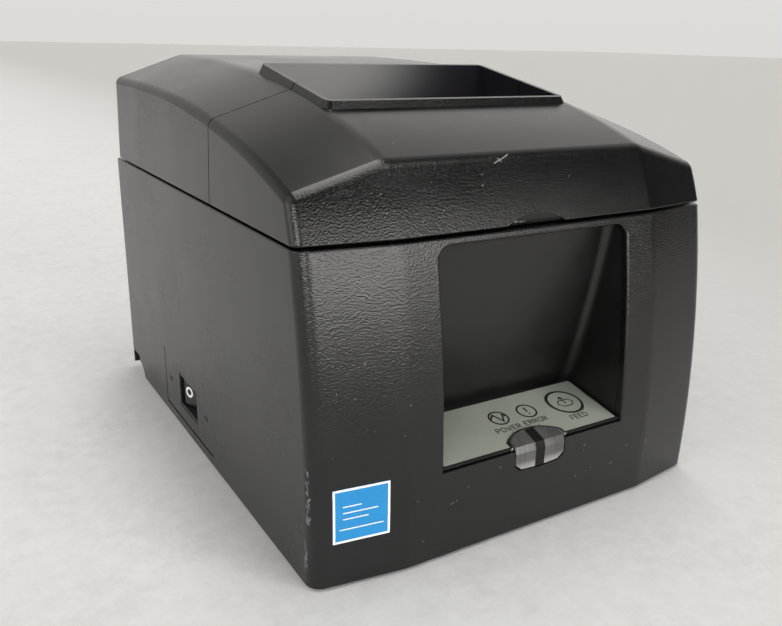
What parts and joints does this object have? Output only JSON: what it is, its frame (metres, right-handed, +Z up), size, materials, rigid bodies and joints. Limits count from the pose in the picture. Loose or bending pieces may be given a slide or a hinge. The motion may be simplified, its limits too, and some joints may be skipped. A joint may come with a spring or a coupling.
{
  "type": "receipt printer",
  "caption": "Desktop thermal receipt printer with a lifting rear cover over the paper roll, a lift-off front cover, an automatic cutter and a recessed front panel.",
  "frame": {"origin": "centre of the case's footprint, on the table under the rubber feet", "axes": "+X to the printer's right seen from its front, -Y towards its front window, +Z up"},
  "size_m": [0.147, 0.187, 0.1344],
  "materials": {
    "case_black": "fine grained",
    "recess_grey": "satin",
    "panel_silver": "satin silver film",
    "smoke_clear": "clear smoke",
    "divider_black": "matt",
    "button_grey": "satin",
    "label_film": "printed film",
    "switch_black": "glossy",
    "steel": "rolled",
    "zinc_plate": "zinc plated",
    "rubber_black": "matt",
    "roller_rubber": "ground",
    "board_green": "solder mask",
    "chip_black": "moulded",
    "capacitor": "satin",
    "socket_black": "moulded",
    "socket_metal": "tin plated",
    "led_lens": "clear",
    "ceramic": "glazed",
    "heatsink": "extruded",
    "motor_can": "satin",
    "gear_white": "moulded",
    "brass": "turned",
    "blade_steel": "ground",
    "lever_green": "satin",
    "hopper_black": "smooth",
    "cable_white": "flat film"
  },
  "bodies": {
    "root": {"main_case": "case_black", "front_recess": "recess_grey", "control_panel": "panel_silver", "power_light_guide": "smoke_clear", "error_light_guide": "smoke_clear", "light_divider": "divider_black", "front_label": "label_film", "switch_body": "switch_black", "hinge_pins": "steel", "bottom_plate": "zinc_plate", "rubber_feet": "rubber_black", "base_screws": "steel", "board_spacers": "brass", "main_board": "board_green", "board_screws": "steel", "board_chips": "chip_black", "board_capacitors": "capacitor", "power_inlet": "socket_black", "drawer_jack": "socket_black", "data_connector": "socket_metal", "interface_plate": "zinc_plate", "interface_screws": "steel", "panel_board": "board_green", "status_leds": "led_lens", "feed_switch": "chip_black", "mechanism_frame": "zinc_plate", "frame_screws": "steel", "thermal_head": "ceramic", "head_heatsink": "heatsink", "head_springs": "steel", "feed_motor": "motor_can", "idler_stud": "steel", "cutter_frame": "zinc_plate", "cutter_motor": "motor_can", "paper_hopper": "hopper_black", "sensor_bracket": "socket_black", "sensor_pin": "steel", "paper_sensor": "chip_black", "head_cable": "cable_white", "cable_socket": "socket_black"},
    "rear_cover": {"rear_cover": "case_black", "platen_holder": "zinc_plate", "platen_bushes": "gear_white", "holder_screws": "steel", "fixed_blade": "blade_steel"},
    "platen": {"platen_shaft": "steel", "platen_roller": "roller_rubber", "platen_gear": "gear_white"},
    "front_cover": {"front_cover": "case_black"},
    "feed_button": {"feed_button": "button_grey"},
    "power_rocker": {"power_rocker": "switch_black"},
    "latch": {"latch_shaft": "steel", "latch_hooks": "steel", "release_lever": "lever_green"},
    "idler": {"idler_gear": "gear_white"},
    "motor_pinion": {"motor_pinion": "brass"},
    "blade": {"moving_blade": "blade_steel"},
    "cutter_pinion": {"cutter_pinion": "brass"},
    "near_end_lever": {"near_end_lever": "hopper_black"}
  },
  "joints": [
    {"name": "rear_cover_hinge", "type": "hinge", "parent": "root", "child": "rear_cover", "pos_m": [0, 0.0898, 0.0845], "axis": [-1, 0, 0], "range_deg": [0, 80]},
    {"name": "front_cover_lift", "type": "slide", "parent": "root", "child": "front_cover", "axis": [0, 0, 1], "range_m": [0, 0.06]},
    {"name": "platen_spin", "type": "hinge", "parent": "rear_cover", "child": "platen", "pos_m": [0, -0.0087, 0.084], "axis": [1, 0, 0], "continuous": true},
    {"name": "idler_spin", "type": "hinge", "parent": "root", "child": "idler", "pos_m": [0.0517, -0.0087, 0.06595], "axis": [1, 0, 0], "continuous": true},
    {"name": "motor_spin", "type": "hinge", "parent": "root", "child": "motor_pinion", "pos_m": [0.0517, -0.0227, 0.0577], "axis": [1, 0, 0], "continuous": true},
    {"name": "feed_button_press", "type": "slide", "parent": "root", "child": "feed_button", "axis": [0, 0.1717, -0.9852], "range_m": [0, 0.0006], "stiffness_N_per_m": 1200},
    {"name": "power_rocker_tilt", "type": "hinge", "parent": "root", "child": "power_rocker", "pos_m": [-0.0665, 0.0129, 0.0166], "axis": [0, 0, -1], "range_deg": [0, 14]},
    {"name": "latch_release", "type": "hinge", "parent": "root", "child": "latch", "pos_m": [0, -0.03, 0.0798], "axis": [1, 0, 0], "range_deg": [0, 20], "stiffness_Nm_per_rad": 0.35},
    {"name": "cutter_blade_slide", "type": "slide", "parent": "root", "child": "blade", "axis": [0, 1, 0], "range_m": [0, 0.01]},
    {"name": "cutter_pinion_spin", "type": "hinge", "parent": "root", "child": "cutter_pinion", "pos_m": [-0.002, -0.048, 0.10305], "axis": [1, 0, 0], "range_deg": [-5, 140]},
    {"name": "near_end_lever_swing", "type": "hinge", "parent": "root", "child": "near_end_lever", "pos_m": [-0.0465, 0.062, 0.037], "axis": [0, 0, 1], "range_deg": [-5, 0], "stiffness_Nm_per_rad": 0.02}
  ],
  "couplings": [
    {"joint": "idler_spin", "follows": "platen_spin", "ratio": -0.5},
    {"joint": "motor_spin", "follows": "platen_spin", "ratio": 1.4286},
    {"joint": "cutter_pinion_spin", "follows": "cutter_blade_slide", "rad_per_m": 238.1}
  ]
}
